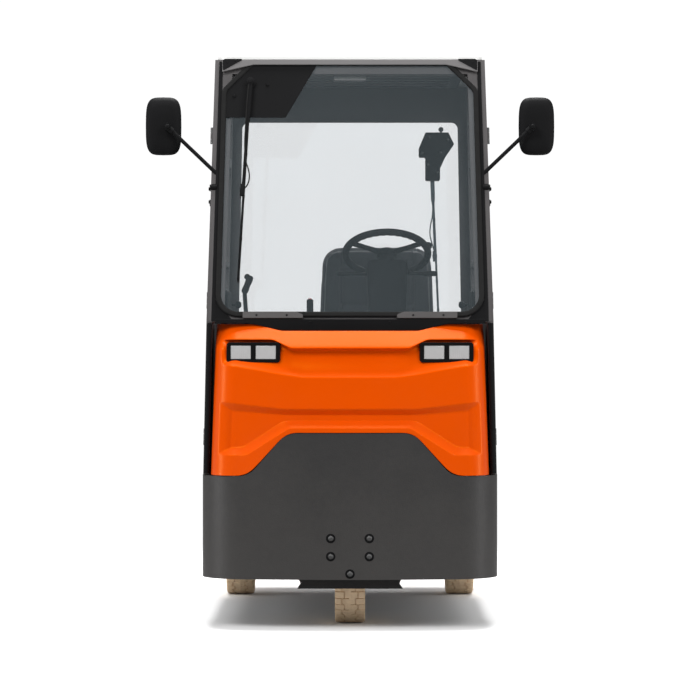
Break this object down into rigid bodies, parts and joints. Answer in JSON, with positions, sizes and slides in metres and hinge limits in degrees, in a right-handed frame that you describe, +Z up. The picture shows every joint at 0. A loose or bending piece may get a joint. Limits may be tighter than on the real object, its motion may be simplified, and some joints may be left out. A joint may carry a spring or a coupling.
{
  "type": "electric baggage tow tractor with cab",
  "caption": "Compact three-wheel electric baggage tug with a closed cab, wrap-around bumper, hinged doors, steered front wheel and pin coupling.",
  "frame": {"origin": "on the floor, under the middle of the vehicle's bounding box", "axes": "+Z up, nose towards -Y, the vehicle's left side towards +X"},
  "size_m": [1.41, 1.88, 1.975],
  "materials": {
    "cowl_paint": "orange enamel, glossy",
    "bumper_paint": "dark grey textured powder coat",
    "cab_paint": "dark grey powder coat",
    "chassis_paint": "black powder coat",
    "roof_paint": "pale grey paint",
    "header_paint": "mid grey paint",
    "seal_rubber": "matt black rubber",
    "window_glass": "clear, lightly tinted",
    "black_plastic": "grained black plastic",
    "lamp_plastic": "black moulded housing",
    "lens_plastic": "pale lens",
    "tail_plastic": "red lens",
    "tyre_rubber": "non-marking beige rubber",
    "rim_paint": "light grey paint",
    "steel": "zinc plated steel",
    "seat_cover": "black seat cloth",
    "mirror_glass": "mirror",
    "battery_case": "grey painted steel tray"
  },
  "bodies": {
    "chassis": {"battery_block": "battery_case", "bumper_cross_plate": "chassis_paint", "cab_frame": "cab_paint", "chassis_frame": "chassis_paint", "dashboard": "black_plastic", "door_hinges": "steel", "drive_axle": "chassis_paint", "front_beams": "chassis_paint", "front_bumper": "bumper_paint", "front_cowl": "cowl_paint", "header_panel": "header_paint", "headlamp_housings": "lamp_plastic", "headlamp_lenses": "lens_plastic", "mirror_arms": "black_plastic", "mirror_glasses": "mirror_glass", "mirror_housings": "black_plastic", "pedals": "black_plastic", "quarter_windows": "window_glass", "rear_body": "cowl_paint", "rear_window_glass": "window_glass", "roof_panel": "roof_paint", "scuttle_panel": "black_plastic", "seat_backrest": "seat_cover", "seat_base": "black_plastic", "seat_belt_buckle": "black_plastic", "seat_cushion": "seat_cover", "side_console": "black_plastic", "side_sills": "chassis_paint", "steering_console": "black_plastic", "steering_head": "chassis_paint", "tail_lamps": "tail_plastic", "tow_coupling": "chassis_paint", "windscreen_glass": "window_glass", "windscreen_seal": "seal_rubber", "wiper_motors": "black_plastic", "wiper_panel": "black_plastic"},
    "steering_fork": {"steering_fork": "chassis_paint"},
    "front_wheel": {"front_tyre": "tyre_rubber", "front_rim": "rim_paint"},
    "steering_wheel": {"steering_wheel": "black_plastic"},
    "rear_left_wheel": {"rear_left_tyre": "tyre_rubber", "rear_left_rim": "rim_paint"},
    "rear_right_wheel": {"rear_right_tyre": "tyre_rubber", "rear_right_rim": "rim_paint"},
    "door_left": {"door_frame_left": "cab_paint", "door_glass_left": "window_glass", "door_handle_left": "black_plastic", "door_lining_left": "black_plastic"},
    "door_right": {"door_frame_right": "cab_paint", "door_glass_right": "window_glass", "door_handle_right": "black_plastic", "door_lining_right": "black_plastic"},
    "rear_hood": {"rear_hood": "bumper_paint"},
    "tow_pin": {"tow_pin": "steel"},
    "front_wiper": {"front_wiper": "black_plastic"},
    "rear_wiper": {"rear_wiper": "black_plastic"}
  },
  "joints": [
    {"name": "steering", "type": "hinge", "parent": "chassis", "child": "steering_fork", "pos_m": [0, -0.61, 0.47], "axis": [0, 0, 1], "range_deg": [-75, 75]},
    {"name": "front_wheel_roll", "type": "hinge", "parent": "steering_fork", "child": "front_wheel", "pos_m": [0, -0.61, 0.2], "axis": [1, 0, 0], "continuous": true},
    {"name": "steering_wheel_turn", "type": "hinge", "parent": "chassis", "child": "steering_wheel", "pos_m": [0.132, -0.24, 1.29], "axis": [0, 0.5, 0.866], "range_deg": [-450, 450]},
    {"name": "rear_left_wheel_roll", "type": "hinge", "parent": "chassis", "child": "rear_left_wheel", "pos_m": [0.42, 0.568, 0.2], "axis": [1, 0, 0], "continuous": true},
    {"name": "rear_right_wheel_roll", "type": "hinge", "parent": "chassis", "child": "rear_right_wheel", "pos_m": [-0.42, 0.568, 0.2], "axis": [1, 0, 0], "continuous": true},
    {"name": "door_left_swing", "type": "hinge", "parent": "chassis", "child": "door_left", "pos_m": [0.49894, -0.47165, 0.99993], "axis": [0.0236, 0, -0.9997], "range_deg": [0, 85]},
    {"name": "door_right_swing", "type": "hinge", "parent": "chassis", "child": "door_right", "pos_m": [-0.49894, -0.47165, 0.99993], "axis": [0.0236, 0, 0.9997], "range_deg": [0, 85]},
    {"name": "rear_hood_lift", "type": "hinge", "parent": "chassis", "child": "rear_hood", "pos_m": [0, 0.605, 0.768], "axis": [1, 0, 0], "range_deg": [0, 75]},
    {"name": "tow_pin_lift", "type": "slide", "parent": "chassis", "child": "tow_pin", "axis": [0, 0, 1], "range_m": [0, 0.2]},
    {"name": "front_wiper_sweep", "type": "hinge", "parent": "chassis", "child": "front_wiper", "pos_m": [-0.344, -0.65506, 1.869], "axis": [0, -0.9751, 0.2215], "range_deg": [0, 76]},
    {"name": "rear_wiper_sweep", "type": "hinge", "parent": "chassis", "child": "rear_wiper", "pos_m": [0.318, 0.58, 1.612], "axis": [0, 1, 0], "range_deg": [0, 76]}
  ],
  "couplings": [
    {"joint": "steering_wheel_turn", "follows": "steering", "ratio": 6}
  ]
}
